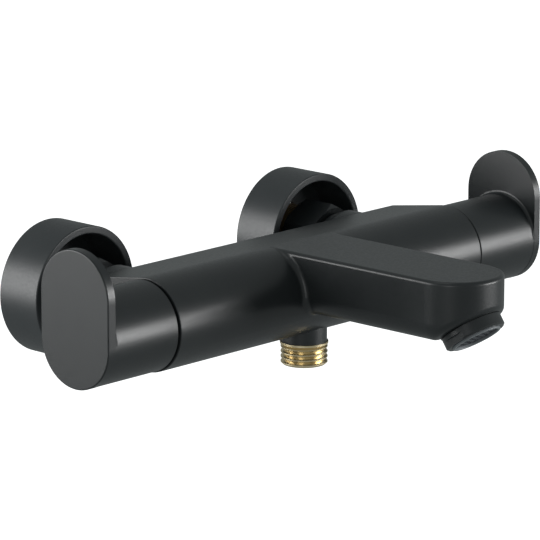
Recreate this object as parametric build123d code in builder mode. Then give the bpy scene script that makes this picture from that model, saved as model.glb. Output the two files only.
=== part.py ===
"""Wall mounted thermostatic bath faucet with a spout, a shower outlet and two plate handles.

Frame: millimetres, X along the body (hot side is -X), Y into the wall, Z up.
The origin lies on the finished wall, midway between the two inlets, at their height.
"""

import os
from math import acos, atan2, cos, degrees, hypot, pi, radians, sin

from build123d import *

os.makedirs("parts", exist_ok=True)

# ---------------------------------------------------------------- driving dimensions
INLET_SPACING = 150.0  # standard distance between the hot and cold wall connections
INLET_X = INLET_SPACING / 2
AXIS_Y = -83.0  # the body's long axis, in front of the wall
HOT, COLD = -1, 1  # sides of the faucet along X
SIDES = {"hot": HOT, "cold": COLD}
CONTROLS = {"flow": HOT, "temperature": COLD}

# body casting
BODY_R = 20.6
BODY_END = 97.6
REAR_DEPTH = 33.5  # from the body's axis back to its flat rear face
REAR_HALF = 15.7  # half the height of the rear face
REAR_EDGE_R = 0.8
END_EDGE_R = 0.4

# spout
SPOUT_TIP_Y = AXIS_Y - 89.0  # centre of the round tip
SPOUT_R = BODY_R
SPOUT_UNDERSIDE = -7.0
SPOUT_TOP = BODY_R + 0.12
SPOUT_TOP_R = 1.7
SPOUT_LOWER_R = 9.0
MOUTH_EDGE_R = 4.0
ROOT_R = 2.5
MOUTH_BOSS_R = 13.95
MOUTH_TILT = 35.0  # aerator axis, forward from straight down
MOUTH = Vector(0, AXIS_Y - 97.4, -1.6)

# shower outlet
OUTLET_Y = AXIS_Y - 1.0
OUTLET_NECK_R = 10.2
OUTLET_NECK_END = -24.6
G_HALF_R = 20.955 / 2
G_HALF_PITCH = 1.814
OUTLET_PITCH = 2.3
THREAD_DEPTH = 1.0

# handles
KNOB_R = 20.0
KNOB_START = 98.6
PLATE_BACK = 136.0
PLATE_FACE = 140.3
PLATE_R = 20.1
PLATE_RISE = 19.9  # centre of the plate's upper end above the knob's axis
PLATE_EDGE_R = 0.6
COVE_R = 1.5

# waterways inside the body
CHANNEL_Z = 6.8  # height of the spout's channel
CHANNEL_R = 6.5
PORT_R = 4.5
MIXED_Y, MIXED_Z, MIXED_R = AXIS_Y + 5, 5.0, 6.5
SPOUT_PORT_Y, SPOUT_PORT_Z = AXIS_Y - 9.5, 3.0
SHOWER_PORT_Z = -11.5
HOT_GALLERY_Y, HOT_GALLERY_R = AXIS_Y + 23, 5.5
HOT_WINDOW_X = 45.0
AERATOR_THREAD_R = 11.9

# cartridges
BORE_R = 14.0
NUT_BORE_R = 17.0
SHOULDER = 86.0
FLOW_BORE_END = 54.0
THERMO_BORE_END = 32.0
NECK_END = 105.8
SPINDLE_R = 5.22
SPINDLE_HOLE_R = 5.3
SPLINE_R = 4.8
SPLINE_END = 118.0
TURN = {"flow": (-90.0, 90.0), "temperature": (-120.0, 75.0)}
LUG_HALF = 10.0
STOP_HALF = 8.0

# inlets and rosettes
BOSS_R = 15.5
BOSS_END = -34.0
TAIL_R = 10.8
TAIL_BORE_R = 7.5
NUT_FRONT = -33.0
NUT_BACK = -15.0
NUT_FLATS = 30.0
UNION_R = 13.2
UNION_FRONT = -22.3
WALL_THREAD_END = 16.0
ROSETTE_R = 29.9
ROSETTE_DEPTH = 23.0
ROSETTE_RIM = 3.5
ROSETTE_FLOOR = 3.0

BODY_AXIS = Axis((0, AXIS_Y, 0), (1, 0, 0))
BODY_SECTION = Plane(origin=(0, AXIS_Y, 0), x_dir=(1, 0, 0), z_dir=(0, -1, 0))


# ---------------------------------------------------------------- helpers
def keep(piece, name):
    """Label a finished piece and write it as its own STEP file."""
    piece.part.label = name
    export_step(piece.part, f"parts/{name}.step")


def turned(plane, axis, outline, mode=Mode.ADD):
    """Revolve a closed outline of (along, radius) points; it joins the block it is called in."""
    with BuildSketch(plane) as section:
        with BuildLine():
            Polyline(*outline, close=True)
        make_face()
    revolve(section.sketch, axis=axis, mode=mode)


def body_ring(side, start, end, outer, inner=0.0, mode=Mode.ADD):
    """A plain ring on the body's axis, between two distances from the middle."""
    outline = [(side * start, inner), (side * end, inner), (side * end, outer), (side * start, outer)]
    turned(BODY_SECTION, BODY_AXIS, outline, mode)


def inlet_section(side):
    """Plane through an inlet's axis; local x runs into the wall and local y is a radius."""
    return Plane(origin=(side * INLET_X, 0, 0), x_dir=(0, 1, 0), z_dir=(1, 0, 0))


def inlet_axis(side):
    """The axis of one inlet, into the wall."""
    return Axis((side * INLET_X, 0, 0), (0, 1, 0))


def drill(start, direction, radius, depth):
    """Cut a round passage out of the current part."""
    with BuildSketch(Plane(origin=start, z_dir=direction)) as hole:
        Circle(radius)
    extrude(hole.sketch, amount=depth, mode=Mode.SUBTRACT)


def ridged(start, pitch, count, crest, direction=1):
    """Outline points along a thread drawn as plain ridges, from its first flank to its last."""
    points = []
    for turn in range(count):
        foot = start + direction * pitch * turn
        points.append((foot, crest - THREAD_DEPTH))
        points.append((foot + direction * pitch * 0.4, crest))
        points.append((foot + direction * pitch * 0.6, crest))
    points.append((start + direction * pitch * count, crest - THREAD_DEPTH))
    return points


def coil(x, radius, wire, length, turns):
    """A round-wire compression spring on the body's axis, starting at x."""
    with BuildPart() as spring:
        with BuildLine():
            path = Helix(length / turns, length, radius, center=(x, AXIS_Y, 0), direction=(1, 0, 0))
        with BuildSketch(Plane(origin=path @ 0, z_dir=path % 0)):
            Circle(wire / 2)
        sweep(path=path, is_frenet=True)
    return spring


# ---------------------------------------------------------------- body casting with its spout
mouth_axis = Vector(0, -sin(radians(MOUTH_TILT)), -cos(radians(MOUTH_TILT)))
MOUTH_PLANE = Plane(origin=MOUTH, x_dir=(1, 0, 0), z_dir=mouth_axis)
AERATOR_AXIS = Axis(MOUTH, mouth_axis)

# The sides of the barrel leave the round front at a tangent and taper to the rear face.
corner_reach = hypot(REAR_DEPTH, REAR_HALF)
tangent = atan2(REAR_HALF, REAR_DEPTH) + acos(BODY_R / corner_reach)
tangent_y, tangent_z = AXIS_Y + BODY_R * cos(tangent), BODY_R * sin(tangent)
SPOUT_ROOT_Y = AXIS_Y + BODY_R * (1 - sin(tangent)) / cos(tangent)

with BuildPart() as spout:
    with BuildSketch(Plane.XY.offset(SPOUT_UNDERSIDE)):
        with BuildLine():
            Polyline(
                (-SPOUT_R, SPOUT_TIP_Y),
                (-SPOUT_R, SPOUT_ROOT_Y),
                (SPOUT_R, SPOUT_ROOT_Y),
                (SPOUT_R, SPOUT_TIP_Y),
            )
            CenterArc((0, SPOUT_TIP_Y), SPOUT_R, 180, 180)
        make_face()
    extrude(amount=SPOUT_TOP - SPOUT_UNDERSIDE)
    fillet(spout.faces().sort_by(Axis.Z)[-1].edges().sort_by(Axis.Y)[:-1], SPOUT_TOP_R)
    fillet(spout.faces().sort_by(Axis.Z)[0].edges().sort_by(Axis.Y)[:-1], SPOUT_LOWER_R)
    split(bisect_by=MOUTH_PLANE, keep=Keep.BOTTOM)
    fillet(spout.faces().filter_by(AERATOR_AXIS).edges(), MOUTH_EDGE_R)

with BuildPart() as body:
    # barrel
    with BuildSketch(Plane.YZ.offset(-BODY_END)):
        with Locations((AXIS_Y, 0)):
            Circle(BODY_R)
        with BuildLine():
            Polyline(
                (tangent_y, tangent_z),
                (AXIS_Y + REAR_DEPTH, REAR_HALF),
                (AXIS_Y + REAR_DEPTH, -REAR_HALF),
                (tangent_y, -tangent_z),
                close=True,
            )
        make_face()
    extrude(amount=2 * BODY_END)
    fillet(body.faces().sort_by(Axis.Y)[-1].edges().filter_by(Axis.X), REAR_EDGE_R)
    fillet(body.faces().filter_by(Plane.YZ).edges(), END_EDGE_R)

    # spout, with a fillet along its root on both sides and underneath
    add(spout.part)
    root_edges = body.edges().filter_by(
        lambda e: AXIS_Y - BODY_R - 1 < e.center().Y < AXIS_Y - 5
        and abs(e.center().X) < SPOUT_R + 1
        and e.center().Z < BODY_R - SPOUT_TOP_R - 2
    )
    fillet(root_edges, ROOT_R)

    # round seat of the aerator, neck of the shower outlet and bosses of the two inlets
    with BuildSketch(Plane(origin=MOUTH, z_dir=-mouth_axis)):
        Circle(MOUTH_BOSS_R)
    extrude(amount=12)
    with BuildSketch(Plane((0, OUTLET_Y, OUTLET_NECK_END))):
        Circle(OUTLET_NECK_R)
    extrude(amount=12)
    for side in SIDES.values():
        boss = [(-56, 0), (-56, BOSS_R), (-41, BOSS_R), (-38.5, 14.6), (BOSS_END, 12.8), (BOSS_END, 0)]
        turned(inlet_section(side), inlet_axis(side), boss)

    # spout channel and the stepped bore of its aerator
    drill((0, SPOUT_PORT_Y, CHANNEL_Z), (0, -1, 0), CHANNEL_R, SPOUT_PORT_Y - SPOUT_TIP_Y)
    drill(MOUTH, -mouth_axis, AERATOR_THREAD_R, 9)
    drill(MOUTH, -mouth_axis, 8, 14)

    # shower outlet bore
    drill((0, OUTLET_Y, OUTLET_NECK_END), (0, 0, 1), 8.6, 14.6)

    # both ends: cartridge bore and the wider mouth for its retaining nut
    for side, bore_end in ((HOT, FLOW_BORE_END), (COLD, THERMO_BORE_END)):
        body_ring(side, bore_end, BODY_END, BORE_R, mode=Mode.SUBTRACT)
        body_ring(side, SHOULDER, BODY_END, NUT_BORE_R, mode=Mode.SUBTRACT)

    # mixed water to the flow cartridge, then back to the spout and to the shower outlet
    drill((THERMO_BORE_END, MIXED_Y, MIXED_Z), (-1, 0, 0), MIXED_R, THERMO_BORE_END + FLOW_BORE_END)
    drill((-FLOW_BORE_END, SPOUT_PORT_Y, SPOUT_PORT_Z), (1, 0, 0), PORT_R, FLOW_BORE_END)
    drill((-FLOW_BORE_END, AXIS_Y, SHOWER_PORT_Z), (1, 0, 0), PORT_R, FLOW_BORE_END)

    # inlets: seat of the tail, then the hot gallery and the cold port to the thermostat
    for side in SIDES.values():
        drill((side * INLET_X, BOSS_END, 0), (0, -1, 0), 10.05, 18)
        drill((side * INLET_X, BOSS_END, 0), (0, -1, 0), 7, HOT_GALLERY_Y * -1 + BOSS_END)
    drill((-INLET_X, HOT_GALLERY_Y, 0), (1, 0, 0), HOT_GALLERY_R, INLET_X + HOT_WINDOW_X)
    drill((HOT_WINDOW_X, HOT_GALLERY_Y, 0), (0, -1, 0), PORT_R, 13)
    drill((INLET_X, HOT_GALLERY_Y + 1, 0), (0, -1, 0), PORT_R, 13)
keep(body, "body")


# ---------------------------------------------------------------- aerator, screwed into the spout
def aerator_ring(start, end, outer, inner, mode=Mode.ADD):
    """A ring on the aerator's axis; distances are outwards from the mouth."""
    with BuildSketch(MOUTH_PLANE.offset(start)) as ring:
        Circle(outer)
        if inner:
            Circle(inner, mode=Mode.SUBTRACT)
    extrude(ring.sketch, amount=end - start, mode=mode)


COLLAR_R = 13.65
COLLAR_END = 5.5
COLLAR_GAP = 0.25
FLAT_START = 2.3
COLLAR_FLATS = 25.2
INSERT_R = 11.2
FACE_R = 9.9
FACE_END = 6.4

with BuildPart() as aerator_housing:
    aerator_ring(COLLAR_GAP, COLLAR_END, COLLAR_R, 0)
    chamfer(aerator_housing.faces().sort_by(AERATOR_AXIS)[-1].edges(), 0.7)
    with BuildSketch(MOUTH_PLANE.offset(FLAT_START)):
        Circle(COLLAR_R + 2)
        Rectangle(COLLAR_FLATS, 2 * COLLAR_R + 6, mode=Mode.SUBTRACT)
    extrude(amount=COLLAR_END, mode=Mode.SUBTRACT)
    aerator_ring(-7, COLLAR_GAP, AERATOR_THREAD_R - 0.1, 0)
    aerator_ring(-7, 4, 10.3, 0, mode=Mode.SUBTRACT)
    aerator_ring(3.5, COLLAR_END, INSERT_R + 0.1, 0, mode=Mode.SUBTRACT)
keep(aerator_housing, "aerator_housing")

with BuildPart() as aerator_insert:
    aerator_ring(-6.5, 3.6, 10.2, 9.2)
    aerator_ring(3.6, FACE_END, INSERT_R, FACE_R)
    fillet(aerator_insert.faces().sort_by(AERATOR_AXIS)[-1].edges(), 0.4)
    aerator_ring(3.6, 4.2, FACE_R, 9.2)
keep(aerator_insert, "aerator_insert")

with BuildPart() as aerator_mesh:
    aerator_ring(4.3, 5.3, FACE_R - 0.1, 0)
    with BuildSketch(MOUTH_PLANE.offset(4.3)):
        with HexLocations(1.5, 7, 7):
            Circle(0.95)
        Circle(8.6, mode=Mode.INTERSECT)
    extrude(amount=1.0, mode=Mode.SUBTRACT)
keep(aerator_mesh, "aerator_mesh")

with BuildPart() as aerator_seal:
    aerator_ring(-8.7, -7.1, 11.6, 9.0)
keep(aerator_seal, "aerator_seal")


# ---------------------------------------------------------------- shower outlet
outlet_section = Plane(origin=(0, OUTLET_Y, 0), x_dir=(0, 0, -1), z_dir=(0, -1, 0))
outlet_axis = Axis((0, OUTLET_Y, 0), (0, 0, -1))
OUTLET_FLANGE_END = 25.8
OUTLET_BORE_R = 6.5
OUTLET_RIM_R = 10.8
OUTLET_RIDGES = 4

with BuildPart() as shower_outlet:
    ridges = ridged(OUTLET_FLANGE_END, OUTLET_PITCH, OUTLET_RIDGES, G_HALF_R)
    outlet_end = ridges[-1][0] + 0.4
    outline = [
        (14, OUTLET_BORE_R),
        (14, 8.5),
        (18, 8.5),
        (18, 7.4),
        (19.6, 7.4),
        (19.6, 8.5),
        (-OUTLET_NECK_END, 8.5),
        (-OUTLET_NECK_END, OUTLET_RIM_R),
        (OUTLET_FLANGE_END - 0.3, OUTLET_RIM_R),
        *ridges,
        (outlet_end, OUTLET_BORE_R),
    ]
    turned(outlet_section, outlet_axis, outline)
keep(shower_outlet, "shower_outlet")

with BuildPart() as outlet_oring:
    with BuildSketch(outlet_section):
        with Locations((18.8, 7.98)):
            Circle(0.56)
    revolve(axis=outlet_axis)
keep(outlet_oring, "outlet_oring")


# ---------------------------------------------------------------- non-return valves
VALVE_R = 6.0


def valve_parts(section, axis, start, bore):
    """A small non-return valve: its cage, whose lip grips the bore, and its sprung poppet."""
    with BuildPart() as cage:
        outline = [
            (start, 4.2),
            (start, VALVE_R),
            (start + 3, VALVE_R),
            (start + 3, bore - 0.03),
            (start + 5, bore - 0.03),
            (start + 5, VALVE_R),
            (start + 12, VALVE_R),
            (start + 12, 2.0),
            (start + 10.5, 2.0),
            (start + 10.5, 5.3),
            (start + 1.5, 5.3),
            (start + 1.5, 4.2),
        ]
        turned(section, axis, outline)
    with BuildPart() as poppet:
        outline = [
            (start + 1.7, 0),
            (start + 1.7, 4.9),
            (start + 3.2, 4.9),
            (start + 4.2, 1.7),
            (start + 12.0, 1.7),
            (start + 12.0, 0),
        ]
        turned(section, axis, outline)
    return cage, poppet


outlet_check_cage, outlet_check_poppet = valve_parts(outlet_section, outlet_axis, 18.5, OUTLET_BORE_R)
keep(outlet_check_cage, "outlet_check_cage")
keep(outlet_check_poppet, "outlet_check_poppet")


# ---------------------------------------------------------------- inlets, wall unions and rosettes
TAIL_START = -51.5
TAIL_FLANGE = -28.0
TAIL_END = -24.5
NUT_LIP = -28.3
SEAL_END = UNION_FRONT - 0.1

for name, side in SIDES.items():
    section, axis = inlet_section(side), inlet_axis(side)

    # brass tail screwed into the body's boss; its flange holds the union nut
    with BuildPart() as tail:
        outline = [
            (TAIL_START, TAIL_BORE_R),
            (TAIL_START, 10.0),
            (BOSS_END + 0.1, 10.0),
            (BOSS_END + 0.1, TAIL_R),
            (TAIL_FLANGE, TAIL_R),
            (TAIL_FLANGE, 12.9),
            (TAIL_END, 12.9),
            (TAIL_END, TAIL_BORE_R),
        ]
        turned(section, axis, outline)
    keep(tail, f"{name}_inlet_tail")

    # hexagonal union nut, chamfered at both ends
    with BuildPart() as union_nut:
        with BuildSketch(Plane(origin=(side * INLET_X, NUT_FRONT, 0), x_dir=(1, 0, 0), z_dir=(0, 1, 0))):
            RegularPolygon(NUT_FLATS / 2, 6, major_radius=False, rotation=30)
        extrude(amount=NUT_BACK - NUT_FRONT)
        crown = [
            (NUT_FRONT, 0),
            (NUT_FRONT, NUT_FLATS / 2 + 0.4),
            (NUT_FRONT + 1.6, NUT_FLATS / 2 + 3),
            (NUT_BACK - 1.6, NUT_FLATS / 2 + 3),
            (NUT_BACK, NUT_FLATS / 2 + 0.4),
            (NUT_BACK, 0),
        ]
        turned(section, axis, crown, mode=Mode.INTERSECT)
        turned(section, axis, [(NUT_FRONT, 0), (NUT_FRONT, 11.1), (NUT_LIP, 11.1), (NUT_LIP, 0)], Mode.SUBTRACT)
        turned(section, axis, [(NUT_LIP, 0), (NUT_LIP, 13.28), (NUT_BACK, 13.28), (NUT_BACK, 0)], Mode.SUBTRACT)
    keep(union_nut, f"{name}_union_nut")

    # flat seal with its dirt strainer
    with BuildPart() as strainer_seal:
        turned(section, axis, [(TAIL_END + 0.1, 7.6), (TAIL_END + 0.1, 12.8), (SEAL_END, 12.8), (SEAL_END, 7.6)])
        seal_face = Plane(origin=(side * INLET_X, TAIL_END + 0.5, 0), x_dir=(1, 0, 0), z_dir=(0, 1, 0))
        with BuildSketch(seal_face):
            Circle(7.8)
            with GridLocations(2.4, 2.4, 7, 7):
                Circle(0.9, mode=Mode.SUBTRACT)
        extrude(amount=0.6)
    keep(strainer_seal, f"{name}_strainer_seal")

    # straight union: G3/4 end for the nut, G1/2 end for the wall
    with BuildPart() as wall_union:
        ridge_count = int((WALL_THREAD_END - 1) / G_HALF_PITCH)
        outline = [
            (UNION_FRONT, 6.5),
            (UNION_FRONT, UNION_R - 0.6),
            (UNION_FRONT + 0.6, UNION_R),
            (-2, UNION_R),
            (-2, G_HALF_R - THREAD_DEPTH),
            *ridged(0.5, G_HALF_PITCH, ridge_count, G_HALF_R),
            (WALL_THREAD_END, G_HALF_R - THREAD_DEPTH),
            (WALL_THREAD_END, 6.5),
        ]
        turned(section, axis, outline)
        with BuildSketch(Plane(origin=(side * INLET_X, UNION_FRONT, 0), x_dir=(1, 0, 0), z_dir=(0, 1, 0))):
            RegularPolygon(7, 6, major_radius=False)
        extrude(amount=11, mode=Mode.SUBTRACT)
    keep(wall_union, f"{name}_wall_union")

    # deep cup-shaped rosette, sliding along the union on an O-ring
    with BuildPart() as rosette:
        cup = [
            (-ROSETTE_DEPTH, ROSETTE_R - ROSETTE_RIM),
            (-ROSETTE_DEPTH, ROSETTE_R),
            (0, ROSETTE_R),
            (0, 13.6),
            (-0.8, 13.6),
            (-0.8, 15.2),
            (-2.8, 15.2),
            (-2.8, 13.6),
            (-ROSETTE_FLOOR - 0.8, 13.6),
            (-ROSETTE_FLOOR - 0.8, 17.0),
            (-ROSETTE_FLOOR, 17.0),
            (-ROSETTE_FLOOR, ROSETTE_R - ROSETTE_RIM),
        ]
        turned(section, axis, cup)
        fillet(rosette.faces().sort_by(Axis.Y)[0].edges(), 0.6)
    keep(rosette, f"{name}_rosette")

    with BuildPart() as rosette_oring:
        with BuildSketch(section):
            with Locations((-1.8, 14.22)):
                Circle(0.92)
        revolve(axis=axis)
    keep(rosette_oring, f"{name}_rosette_oring")

    inflow_section = Plane(origin=(side * INLET_X, 0, 0), x_dir=(0, -1, 0), z_dir=(1, 0, 0))
    inflow_axis = Axis((side * INLET_X, 0, 0), (0, -1, 0))
    cage, poppet = valve_parts(inflow_section, inflow_axis, 30, TAIL_BORE_R)
    keep(cage, f"{name}_check_cage")
    keep(poppet, f"{name}_check_poppet")


# ---------------------------------------------------------------- handles and what carries them
def sector(side, start, end, outer, inner, middle, half):
    """A block that follows a circle about the body's axis, spanning an angle from +Y towards +Z."""
    with BuildSketch(Plane.YZ.offset(side * start)) as block:
        with Locations((AXIS_Y, 0)):
            Circle(outer)
            Circle(inner, mode=Mode.SUBTRACT)
            with BuildLine():
                reach = 2 * outer
                edges = [middle - half, middle + half]
                tips = [(AXIS_Y + reach * cos(radians(a)), reach * sin(radians(a))) for a in edges]
                Polyline((AXIS_Y, 0), *tips, close=True)
            make_face(mode=Mode.INTERSECT)
    extrude(block.sketch, amount=side * (end - start))


def plate(side, start, end, radius, mode=Mode.ADD):
    """The upright plate's rounded outline, given a thickness."""
    with BuildSketch(Plane.YZ.offset(side * start)) as outline:
        with Locations((AXIS_Y, PLATE_RISE / 2)):
            SlotCenterToCenter(PLATE_RISE, 2 * radius, rotation=90)
    extrude(outline.sketch, amount=side * (end - start), mode=mode)


LUG_START, LUG_END = 106.0, 109.0
LUG_INNER, LUG_OUTER = 11.5, 14.6
ADAPTER_R = 12.0
SOCKET_END = 130.0
HANDLE_CAVITY_R = 16.8
HANDLE_CAVITY_END = 116.0
GRUB_X = 123.0
DOWN = -90.0

for name, side in CONTROLS.items():
    lowest, highest = TURN[name]

    # fillet that runs from the knob into the back of the plate, fading out at the sides
    with BuildPart() as cove:
        with BuildSketch(BODY_SECTION) as cove_outline:
            with BuildLine():
                heel = (side * (PLATE_BACK - COVE_R), KNOB_R - 0.2)
                rise = (side * (PLATE_BACK - COVE_R), KNOB_R)
                middle = (side * (PLATE_BACK - COVE_R * (1 - sin(pi / 4))), KNOB_R + COVE_R * (1 - cos(pi / 4)))
                crest = (side * PLATE_BACK, KNOB_R + COVE_R)
                Polyline(crest, (side * PLATE_BACK, KNOB_R - 0.2), heel, rise)
                ThreePointArc(rise, middle, crest)
            make_face()
        revolve(cove_outline.sketch, axis=BODY_AXIS)
        plate(side, PLATE_BACK - COVE_R, PLATE_BACK, KNOB_R - 0.05, Mode.INTERSECT)

    # hollow knob with its upright plate, one casting
    with BuildPart() as handle:
        body_ring(side, KNOB_START, PLATE_BACK, KNOB_R)
        plate(side, PLATE_BACK, PLATE_FACE, PLATE_R)
        outside = 1 if side > 0 else 0
        fillet(handle.faces().sort_by(Axis.X)[-outside].edges(), PLATE_EDGE_R)
        fillet(handle.faces().sort_by(Axis.X)[outside - 1].edges(), END_EDGE_R)
        body_ring(side, KNOB_START, HANDLE_CAVITY_END, HANDLE_CAVITY_R, mode=Mode.SUBTRACT)
        body_ring(side, HANDLE_CAVITY_END, SOCKET_END, ADAPTER_R + 0.05, mode=Mode.SUBTRACT)
        drill((side * GRUB_X, AXIS_Y, 0), (0, 0, -1), 2.5, KNOB_R + 1)
        add(cove.part)
    keep(handle, f"{name}_handle")

    # plastic adapter between the spindle's spline and the knob, with the lug that meets the stops
    with BuildPart() as adapter:
        body_ring(side, LUG_START, SOCKET_END - 0.1, ADAPTER_R)
        sector(side, LUG_START, LUG_END, LUG_OUTER, LUG_INNER, DOWN, LUG_HALF)
        body_ring(side, LUG_START, SPLINE_END + 0.2, SPLINE_R + 0.1, mode=Mode.SUBTRACT)
        body_ring(side, SPLINE_END, SOCKET_END, 2.3, mode=Mode.SUBTRACT)
        body_ring(side, SPLINE_END + 2, SOCKET_END, 4.2, mode=Mode.SUBTRACT)
        drill((side * GRUB_X, AXIS_Y, -10), (0, 0, -1), 2.55, 4)
    keep(adapter, f"{name}_adapter")

    with BuildPart() as adapter_screw:
        body_ring(side, SPLINE_END - 9, SPLINE_END + 2.1, 1.95)
        body_ring(side, SPLINE_END + 2.1, SPLINE_END + 5, 3.9)
        with BuildSketch(Plane.YZ.offset(side * (SPLINE_END + 5))):
            with Locations((AXIS_Y, 0)):
                RegularPolygon(1.5, 6, major_radius=False)
        extrude(amount=-side * 2, mode=Mode.SUBTRACT)
    keep(adapter_screw, f"{name}_adapter_screw")

    with BuildPart() as grub_screw:
        with BuildSketch(Plane(origin=(side * GRUB_X, AXIS_Y, -10.2), z_dir=(0, 0, -1))):
            Circle(2.42)
        extrude(amount=8.6)
        with BuildSketch(Plane(origin=(side * GRUB_X, AXIS_Y, -18.8), z_dir=(0, 0, 1))):
            RegularPolygon(1.25, 6, major_radius=False)
        extrude(amount=2.5, mode=Mode.SUBTRACT)
    keep(grub_screw, f"{name}_grub_screw")

    # ring with two stops that limit the turn; it carries the dark line beside the knob
    with BuildPart() as stop_ring:
        body_ring(side, NECK_END - 2.2, NECK_END - 0.2, 14.6, 8.95)
        for limit, way in ((highest, 1), (lowest, -1)):
            middle = DOWN + limit + way * (LUG_HALF + STOP_HALF + 1)
            sector(side, NECK_END - 0.4, LUG_END, 14.4, 12.6, middle, STOP_HALF)
    keep(stop_ring, f"{name}_stop_ring")

    # brass nut that holds the cartridge in the body
    with BuildPart() as retaining_nut:
        body_ring(side, 90.1, BODY_END - 0.4, NUT_BORE_R - 0.1)
        with BuildSketch(Plane.YZ.offset(side * (BODY_END - 0.4))):
            with Locations((AXIS_Y, 0)):
                RegularPolygon(13.5, 6, major_radius=False)
        extrude(amount=side * 6)
        body_ring(side, 90.1, 104, 8.9, mode=Mode.SUBTRACT)
    keep(retaining_nut, f"{name}_retaining_nut")


# ---------------------------------------------------------------- flow and diverter cartridge
def spindle_spline(side, start):
    """The splined head of a spindle, with its tapped hole."""
    with BuildSketch(Plane.YZ.offset(side * start)) as head:
        with Locations((AXIS_Y, 0)):
            Circle(SPLINE_R - 0.5)
            with PolarLocations(SPLINE_R - 0.5, 20):
                Rectangle(0.9, 0.7)
    extrude(head.sketch, amount=side * (SPLINE_END - start))
    body_ring(side, SPLINE_END - 10, SPLINE_END, 2.0, mode=Mode.SUBTRACT)


def cartridge_oring(side, x):
    """An O-ring in the outer groove of a cartridge."""
    with BuildSketch(BODY_SECTION) as wire:
        with Locations((side * x, ORING_R)):
            Circle(ORING_WIRE_R)
    revolve(wire.sketch, axis=BODY_AXIS)


SLEEVE_R = 13.9
FLANGE_R = 16.8
NECK_R = 8.8
GROOVE_R = 12.2
ORING_R = 13.08
ORING_WIRE_R = 0.84
DISC_R = 12.2
FLOW_GROOVES = (78.0, 82.5)
THERMO_GROOVES = (38.0, 60.0, 83.0)
DISC_SPACE_END = 74.0
THERMO_BORE_R = 11.0
THERMO_SPACE_END = 80.0

with BuildPart() as flow_cartridge:
    body_ring(HOT, FLOW_BORE_END + 0.3, SHOULDER + 0.1, SLEEVE_R)
    body_ring(HOT, SHOULDER + 0.1, 90, FLANGE_R)
    body_ring(HOT, 90, NECK_END, NECK_R)
    body_ring(HOT, FLOW_BORE_END, DISC_SPACE_END, 12.5, mode=Mode.SUBTRACT)
    body_ring(HOT, DISC_SPACE_END, NECK_END, SPINDLE_HOLE_R, mode=Mode.SUBTRACT)
    for x in FLOW_GROOVES:
        body_ring(HOT, x - 1, x + 1, BORE_R, GROOVE_R, mode=Mode.SUBTRACT)
keep(flow_cartridge, "flow_cartridge_housing")

with BuildPart() as flow_orings:
    for x in FLOW_GROOVES:
        cartridge_oring(HOT, x)
keep(flow_orings, "flow_cartridge_orings")

flow_ports = [(SPOUT_PORT_Y - AXIS_Y, SPOUT_PORT_Z), (0, SHOWER_PORT_Z + 3.5), (MIXED_Y - AXIS_Y, MIXED_Z)]
disc_stack = {
    "flow_base_seal": (FLOW_BORE_END + 0.4, FLOW_BORE_END + 3, 12.3),
    "flow_fixed_disc": (FLOW_BORE_END + 3.1, FLOW_BORE_END + 6.6, 12.3),
}
for name, (start, end, radius) in disc_stack.items():
    with BuildPart() as disc:
        body_ring(HOT, start, end, radius)
        for port in flow_ports:
            drill((-start, AXIS_Y + port[0], port[1]), (-1, 0, 0), 2.6, end - start)
    keep(disc, name)

with BuildPart() as flow_moving_disc:
    body_ring(HOT, FLOW_BORE_END + 6.7, FLOW_BORE_END + 10.2, DISC_R)
    with BuildSketch(Plane.YZ.offset(-FLOW_BORE_END - 6.7)):
        with Locations((AXIS_Y, 4)):
            SlotCenterToCenter(8, 5)
    extrude(amount=-2, mode=Mode.SUBTRACT)
keep(flow_moving_disc, "flow_moving_disc")

with BuildPart() as flow_spindle:
    body_ring(HOT, FLOW_BORE_END + 10.3, FLOW_BORE_END + 15, 12.0)
    body_ring(HOT, FLOW_BORE_END + 15, NECK_END, SPINDLE_R)
    spindle_spline(HOT, NECK_END)
keep(flow_spindle, "flow_spindle")


# ---------------------------------------------------------------- thermostatic cartridge
STUD_R = 4.0
PUSH_NUT = (68.0, 74.0)
SHUTTLE = (50.0, 60.0)
WAX_R = 5.0

with BuildPart() as thermo_cartridge:
    body_ring(COLD, THERMO_BORE_END + 0.4, SHOULDER + 0.1, SLEEVE_R)
    body_ring(COLD, SHOULDER + 0.1, 90, FLANGE_R)
    body_ring(COLD, 90, NECK_END, NECK_R)
    body_ring(COLD, THERMO_BORE_END + 1.6, THERMO_SPACE_END, THERMO_BORE_R, mode=Mode.SUBTRACT)
    body_ring(COLD, THERMO_BORE_END, THERMO_BORE_END + 2, 7.5, mode=Mode.SUBTRACT)
    body_ring(COLD, THERMO_SPACE_END, NECK_END, SPINDLE_HOLE_R, mode=Mode.SUBTRACT)
    for x in THERMO_GROOVES:
        body_ring(COLD, x - 1, x + 1, BORE_R, GROOVE_R, mode=Mode.SUBTRACT)
    for x in (HOT_WINDOW_X, INLET_X - 7):
        for angle in range(0, 360, 90):
            across = (0, cos(radians(angle)), sin(radians(angle)))
            drill((x, AXIS_Y, 0), across, 3.4, BORE_R)
keep(thermo_cartridge, "thermostat_housing")

with BuildPart() as thermo_orings:
    for x in THERMO_GROOVES:
        cartridge_oring(COLD, x)
keep(thermo_orings, "thermostat_orings")

with BuildPart() as thermo_spindle:
    body_ring(COLD, 70, 76, STUD_R)
    body_ring(COLD, 76, THERMO_SPACE_END - 0.2, 8)
    body_ring(COLD, THERMO_SPACE_END - 0.2, NECK_END, SPINDLE_R)
    spindle_spline(COLD, NECK_END)
keep(thermo_spindle, "thermostat_spindle")

with BuildPart() as push_nut:
    body_ring(COLD, *PUSH_NUT, 9.5, STUD_R + 0.3)
    body_ring(COLD, PUSH_NUT[0], PUSH_NUT[0] + 1.2, 6, mode=Mode.ADD)
keep(push_nut, "thermostat_push_nut")

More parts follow.
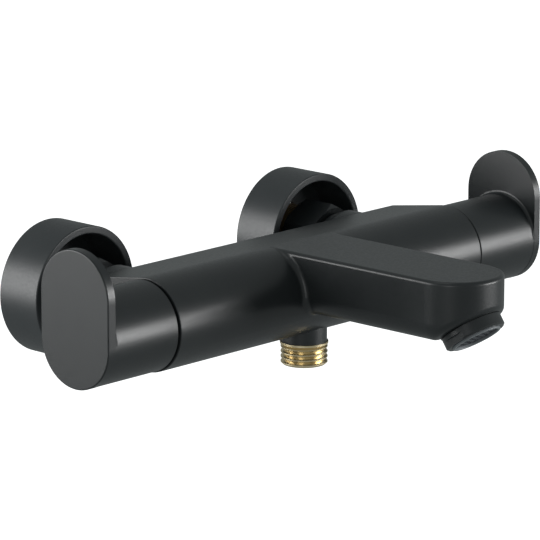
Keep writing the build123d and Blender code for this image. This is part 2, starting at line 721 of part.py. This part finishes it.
overtravel_spring = coil(61.7, 7.0, 1.2, 5.5, 3)
keep(overtravel_spring, "thermostat_overtravel_spring")

with BuildPart() as wax_element:
    body_ring(COLD, 42, 60.8, WAX_R)
    body_ring(COLD, 60.8, 67.8, 1.8)
    fillet(wax_element.faces().sort_by(Axis.X)[0].edges(), 2)
keep(wax_element, "wax_element")

with BuildPart() as shuttle:
    body_ring(COLD, *SHUTTLE, 10.6, 8.6)
    body_ring(COLD, 54, 56, 10, WAX_R + 0.05)
    for angle in range(0, 360, 60):
        spoke = radians(angle)
        drill((54, AXIS_Y + 6.9 * cos(spoke), 6.9 * sin(spoke)), (1, 0, 0), 1.4, 2)
keep(shuttle, "thermostat_shuttle")

return_spring = coil(34.6, 9.0, 1.5, 13.2, 5)
keep(return_spring, "thermostat_return_spring")
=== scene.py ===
"""Wall mounted bath faucet: finishes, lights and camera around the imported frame."""

import bmesh
import bpy
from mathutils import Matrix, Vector


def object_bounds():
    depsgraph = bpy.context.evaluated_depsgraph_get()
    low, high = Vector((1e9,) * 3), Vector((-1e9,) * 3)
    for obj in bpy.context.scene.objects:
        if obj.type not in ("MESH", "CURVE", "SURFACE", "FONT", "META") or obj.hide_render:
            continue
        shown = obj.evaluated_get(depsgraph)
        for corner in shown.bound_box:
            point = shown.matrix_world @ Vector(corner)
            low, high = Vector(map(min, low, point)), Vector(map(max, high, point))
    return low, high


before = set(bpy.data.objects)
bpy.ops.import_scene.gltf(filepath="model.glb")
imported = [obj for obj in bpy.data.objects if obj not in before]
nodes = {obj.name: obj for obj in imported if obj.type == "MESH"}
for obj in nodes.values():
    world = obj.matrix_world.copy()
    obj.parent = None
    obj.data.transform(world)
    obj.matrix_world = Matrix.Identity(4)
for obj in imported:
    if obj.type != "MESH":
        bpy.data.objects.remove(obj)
cad_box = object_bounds()


# Body casting with its spout: one brass casting with a matt black coating baked on.
# The coating has a very fine orange peel, a faint cloudiness and an uneven gloss.
# Most of a noise lies between these two values.
NOISE_LOW, NOISE_HIGH = 0.3, 0.7


def principled(name, base, rough, metallic=0.0):
    """A new material with its shader's constants set, and the parts that a finish is built on."""
    mat = bpy.data.materials.new(name)
    mat.use_nodes = True
    tree = mat.node_tree
    shader = tree.nodes["Principled BSDF"]
    shader.inputs["Base Color"].default_value = (*base, 1)
    shader.inputs["Roughness"].default_value = rough
    shader.inputs["Metallic"].default_value = metallic
    coords = tree.nodes.new("ShaderNodeTexCoord").outputs["Object"]
    return mat, tree, shader, coords


def grain(tree, coords, scale, stretch=(1, 1, 1), detail=3.0):
    """Noise on object coordinates, with a stretch along each axis."""
    mapping = tree.nodes.new("ShaderNodeMapping")
    mapping.inputs["Scale"].default_value = stretch
    noise = tree.nodes.new("ShaderNodeTexNoise")
    noise.inputs["Scale"].default_value = scale
    noise.inputs["Detail"].default_value = detail
    tree.links.new(coords, mapping.inputs["Vector"])
    tree.links.new(mapping.outputs["Vector"], noise.inputs["Vector"])
    return noise.outputs["Fac"]


def spread(tree, factor, low, high):
    """Maps the middle of a noise, where most of it lies, onto a range of numbers."""
    span = tree.nodes.new("ShaderNodeMapRange")
    span.inputs["From Min"].default_value = NOISE_LOW
    span.inputs["From Max"].default_value = NOISE_HIGH
    span.inputs["To Min"].default_value = low
    span.inputs["To Max"].default_value = high
    tree.links.new(factor, span.inputs["Value"])
    return span.outputs["Result"]


def tint(tree, shader, factor, dark, light):
    """Colours the shader between two tones by a factor."""
    ramp = tree.nodes.new("ShaderNodeValToRGB")
    ramp.color_ramp.elements[0].position = NOISE_LOW
    ramp.color_ramp.elements[0].color = (*dark, 1)
    ramp.color_ramp.elements[1].position = NOISE_HIGH
    ramp.color_ramp.elements[1].color = (*light, 1)
    tree.links.new(factor, ramp.inputs["Fac"])
    tree.links.new(ramp.outputs["Color"], shader.inputs["Base Color"])


def rough_bump(tree, shader, height, strength, distance):
    """Raises the surface by a height pattern."""
    bump = tree.nodes.new("ShaderNodeBump")
    bump.inputs["Strength"].default_value = strength
    bump.inputs["Distance"].default_value = distance
    tree.links.new(height, bump.inputs["Height"])
    tree.links.new(bump.outputs["Normal"], shader.inputs["Normal"])


def black_coating(name, dark, light, smooth, matt):
    """Baked matt black coating."""
    mat, tree, shader, coords = principled(name, light, matt)
    shader.inputs["Specular IOR Level"].default_value = 0.5
    cloud = grain(tree, coords, 60, detail=4)
    tint(tree, shader, cloud, dark, light)
    fine = grain(tree, coords, 900, detail=2)
    tree.links.new(spread(tree, fine, smooth, matt), shader.inputs["Roughness"])
    rough_bump(tree, shader, grain(tree, coords, 2600, detail=2), 0.12, 0.00006)
    return mat


def finish(mat, *names):
    """Gives a material to CAD nodes."""
    for name in names:
        for place in nodes[name].material_slots:
            place.material = mat


COAT_DARK = (0.012, 0.0145, 0.0155)
COAT_LIGHT = (0.015, 0.0178, 0.0187)
coat = black_coating("black_coat", COAT_DARK, COAT_LIGHT, 0.31, 0.38)
finish(coat, "body")


# Aerator: a black collar with flats for a spanner, a light grey plastic insert and,
# behind it, a stainless mesh that breaks up the jet, on a rubber seal.
finish(coat, "aerator_housing")


def moulded(name, dark, light, rough):
    """Moulded plastic with a faint mottle."""
    mat, tree, shader, coords = principled(name, light, rough)
    tint(tree, shader, grain(tree, coords, 140), dark, light)
    rough_bump(tree, shader, grain(tree, coords, 1800, detail=2), 0.1, 0.00005)
    return mat


def brushed(name, dark, light, rough, stretch):
    """Drawn or turned metal, with fine lines where the stretch differs between axes."""
    mat, tree, shader, coords = principled(name, light, rough, metallic=1.0)
    lines = grain(tree, coords, 700, stretch, detail=4)
    tint(tree, shader, lines, dark, light)
    tree.links.new(spread(tree, lines, rough - 0.06, rough + 0.1), shader.inputs["Roughness"])
    rough_bump(tree, shader, lines, 0.15, 0.00003)
    return mat


grey_plastic = moulded("grey_plastic", (0.14, 0.155, 0.165), (0.19, 0.205, 0.215), 0.4)
stainless = brushed("stainless", (0.45, 0.45, 0.45), (0.62, 0.62, 0.61), 0.3, (1, 1, 1))
# The mesh is a dark bluish grey, far darker than bare stainless: painted shade for its place deep in the
# aerator.
mesh_steel_painted_shade = brushed("mesh_steel_painted_shade", (0.05, 0.055, 0.065), (0.12, 0.13, 0.15), 0.42, (1, 1, 1))
rubber = moulded("rubber", (0.012, 0.012, 0.012), (0.02, 0.02, 0.02), 0.7)
finish(grey_plastic, "aerator_insert")
finish(mesh_steel_painted_shade, "aerator_mesh")
finish(rubber, "aerator_seal")


# Shower outlet: a turned brass nipple screwed up into the body, sealed by an O-ring,
# with its thread left bare for the hose.
brass = brushed("brass", (0.66, 0.53, 0.30), (0.86, 0.74, 0.50), 0.26, (0.15, 0.15, 3.0))
white_plastic = moulded("white_plastic", (0.66, 0.66, 0.63), (0.76, 0.76, 0.74), 0.4)
finish(brass, "shower_outlet")
finish(rubber, "outlet_oring")
finish(white_plastic, "outlet_check_cage", "outlet_check_poppet")


# Inlets: a brass tail in each boss with a black hexagonal union nut, a seal with a
# strainer, and a straight brass union into the wall with a non-return valve inside.
turned_brass = brushed("turned_brass", (0.40, 0.26, 0.11), (0.58, 0.41, 0.20), 0.32, (0.15, 3.0, 0.15))
for side in ("hot", "cold"):
    finish(turned_brass, f"{side}_inlet_tail", f"{side}_wall_union")
    finish(rubber, f"{side}_strainer_seal", f"{side}_rosette_oring")
    finish(white_plastic, f"{side}_check_cage", f"{side}_check_poppet")
nut_coat = black_coating("nut_coat", COAT_DARK, COAT_LIGHT, 0.28, 0.36)
finish(nut_coat, "hot_union_nut", "cold_union_nut")


# Rosettes: deep cups of drawn steel, coated black, that slide on the unions and hide
# the holes in the tiles.
# The rosettes' coat is a lighter black than the body's: painted light that lifts the shaded inside of the
# cups.
rosette_coat_painted_light = black_coating("rosette_coat_painted_light", (0.024, 0.028, 0.030), (0.029, 0.033, 0.035), 0.36, 0.44)
finish(rosette_coat_painted_light, "hot_rosette", "cold_rosette")


# Handles: at each end a hollow knob and its upright plate, cast in one, coated black.
# A plastic adapter, a screw and a grub screw from below fix each to its spindle.
handle_coat = black_coating("handle_coat", COAT_DARK, COAT_LIGHT, 0.31, 0.38)
black_plastic = moulded("black_plastic", (0.018, 0.018, 0.018), (0.03, 0.03, 0.03), 0.5)
for control in ("flow", "temperature"):
    finish(handle_coat, f"{control}_handle")
    finish(black_plastic, f"{control}_adapter", f"{control}_stop_ring")
    finish(stainless, f"{control}_adapter_screw", f"{control}_grub_screw")
    finish(turned_brass, f"{control}_retaining_nut")


# Cartridges: the flow and diverter discs at the hot end, the thermostat at the cold
# end, each in its housing with O-rings.
ceramic = moulded("ceramic", (0.78, 0.77, 0.73), (0.84, 0.83, 0.80), 0.12)
copper = brushed("copper", (0.45, 0.20, 0.11), (0.62, 0.30, 0.18), 0.3, (3.0, 0.15, 0.15))
finish(turned_brass, "flow_cartridge_housing", "flow_spindle", "thermostat_spindle", "thermostat_push_nut")
finish(rubber, "flow_cartridge_orings", "flow_base_seal", "thermostat_orings")
finish(ceramic, "flow_fixed_disc", "flow_moving_disc")
finish(black_plastic, "thermostat_housing")
finish(white_plastic, "thermostat_shuttle")
finish(copper, "wax_element")
finish(stainless, "thermostat_overtravel_spring", "thermostat_return_spring")


# Studio: a pale floor well below the faucet that glows, and that reflections and bounced
# light leave out, with four soft panels and an even pale surround.
FLOOR_DROP = 0.5
FLOOR_SIZE = 30
FLOOR_GLOW = 0.9
SURROUND_COLOUR = (0.93, 1, 1, 1)
SURROUND_STRENGTH = 0.3
low, high = Vector(cad_box[0]), Vector(cad_box[1])
floor_mesh = bpy.data.meshes.new("floor")
shape = bmesh.new()
bmesh.ops.create_grid(shape, x_segments=1, y_segments=1, size=FLOOR_SIZE)
bmesh.ops.translate(shape, verts=shape.verts, vec=(0, 0, low.z - FLOOR_DROP))
shape.to_mesh(floor_mesh)
shape.free()
floor = bpy.data.objects.new("floor", floor_mesh)
bpy.context.collection.objects.link(floor)
floor_mat, _, floor_shader, _ = principled("pale_floor", (0.9, 0.9, 0.9), 0.9)
floor_shader.inputs["Emission Color"].default_value = (1, 1, 1, 1)
floor_shader.inputs["Emission Strength"].default_value = FLOOR_GLOW
floor_mesh.materials.append(floor_mat)
floor.visible_diffuse = False
floor.visible_glossy = False

world = bpy.data.worlds.new("surround")
world.use_nodes = True
world.node_tree.nodes["Background"].inputs["Color"].default_value = SURROUND_COLOUR
world.node_tree.nodes["Background"].inputs["Strength"].default_value = SURROUND_STRENGTH
bpy.context.scene.world = world

middle = (low + high) / 2


def panel(name, place, width, height, power):
    """A soft light panel that faces the faucet."""
    data = bpy.data.lights.new(name, "AREA")
    data.shape = "RECTANGLE"
    data.size, data.size_y = width, height
    data.energy = power
    lamp = bpy.data.objects.new(name, data)
    lamp.location = place
    lamp.rotation_euler = (middle - lamp.location).to_track_quat("-Z", "Y").to_euler()
    bpy.context.collection.objects.link(lamp)


panel("left", Vector((-1.5, 1.3, 0.3)), 1.5, 1.2, 34)
panel("front", Vector((1.1, -1.5, 0.12)), 1.1, 0.6, 22)
panel("near", Vector((-1.7, -0.9, 0.2)), 0.6, 0.6, 3)
panel("top", Vector((-0.2, 0.3, 1.8)), 1.6, 0.5, 2)

# Camera: a long lens, from the left and a little above.
SENSOR_WIDTH = 36
LENS = 271.9
CAMERA_PLACE = Vector((-1.2877, -1.2691, 0.4234))
CAMERA_AIM = Vector((-0.00864, -0.0714, 0.00677))
camera_data = bpy.data.cameras.new("camera")
camera_data.sensor_width = SENSOR_WIDTH
camera_data.lens = LENS
camera = bpy.data.objects.new("camera", camera_data)
camera.location = CAMERA_PLACE
sight = CAMERA_AIM - CAMERA_PLACE
camera.rotation_euler = sight.to_track_quat("-Z", "Y").to_euler()
bpy.context.collection.objects.link(camera)
bpy.context.scene.camera = camera
bpy.context.scene.view_settings.view_transform = "Standard"
